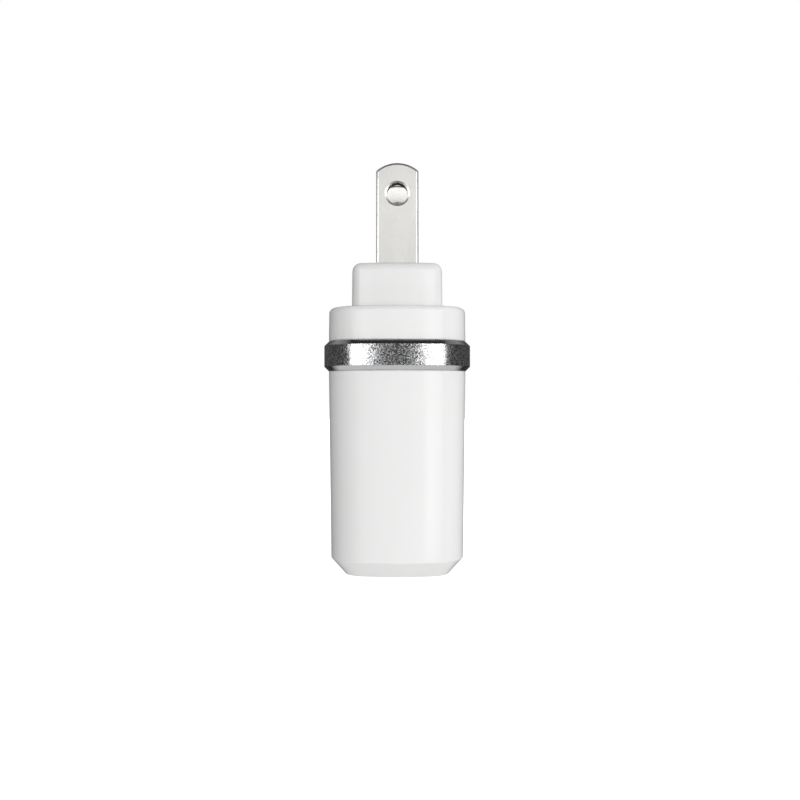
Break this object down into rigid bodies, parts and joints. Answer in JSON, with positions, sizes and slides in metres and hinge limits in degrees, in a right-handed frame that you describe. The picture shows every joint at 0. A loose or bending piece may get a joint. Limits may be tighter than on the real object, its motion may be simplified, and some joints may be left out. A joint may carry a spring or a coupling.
{
  "type": "usb wall charger",
  "caption": "Slim white mains charger with fixed flat blades on a raised neck, a bevelled metal trim ring and socket-A outlets in its base.",
  "frame": {"origin": "centre of the flat socket face that the charger stands on", "axes": "+Z from the socket face towards the blade tips, Y along the wide way of the case and across the blade pair, X along its thickness"},
  "size_m": [0.0212, 0.0392, 0.0599],
  "materials": {
    "white_housing": "polished moulded polycarbonate",
    "satin_aluminium": "bead-blasted band with cut bevels",
    "nickel_plate": "bright nickel plate over brass",
    "inner_plastic": "unpolished moulding",
    "zinc_steel": "zinc-plated",
    "spring_brass": "stamped spring brass",
    "socket_steel": "nickel-plated sheet steel",
    "tongue_plastic": "white insulator",
    "gold_contact": "gold flash over copper alloy",
    "circuit_board": "green solder mask on glass epoxy",
    "solder": "tin alloy",
    "insulating_film": "translucent film",
    "ferrite": "sintered",
    "black_plastic": "moulded thermoset",
    "copper_wire": "enamelled copper",
    "yellow_tape": "polyester tape",
    "capacitor_sleeve": "shrunk sleeve over an aluminium can",
    "resistor_coat": "flameproof coating",
    "inductor_coat": "epoxy coating",
    "disc_coat": "dipped epoxy",
    "chip_ceramic": "sintered ceramic"
  },
  "bodies": {
    "root": {"rear_housing": "white_housing", "front_cap": "white_housing", "trim_ring": "satin_aluminium", "blade_line": "nickel_plate", "blade_neutral": "nickel_plate", "blade_retainer": "inner_plastic", "retainer_screws": "zinc_steel", "contact_clip_line": "spring_brass", "contact_clip_neutral": "spring_brass", "usb_shell_left": "socket_steel", "usb_shell_right": "socket_steel", "usb_tongue_left": "tongue_plastic", "usb_tongue_right": "tongue_plastic", "usb_contacts_left": "gold_contact", "usb_contacts_right": "gold_contact", "usb_board": "circuit_board", "board_link_pins": "gold_contact", "main_board": "circuit_board", "solder_joints": "solder", "insulation_sheet": "insulating_film", "transformer_core_lower": "ferrite", "transformer_core_upper": "ferrite", "transformer_bobbin": "black_plastic", "transformer_winding": "copper_wire", "transformer_tape": "yellow_tape", "input_capacitor": "capacitor_sleeve", "output_capacitor": "capacitor_sleeve", "fusible_resistor": "resistor_coat", "filter_inductor": "inductor_coat", "safety_capacitor": "disc_coat", "bridge_rectifier": "black_plastic", "controller_chip": "black_plastic", "output_rectifier": "black_plastic", "opto_coupler": "tongue_plastic", "chip_passives": "chip_ceramic"}
  },
  "joints": []
}
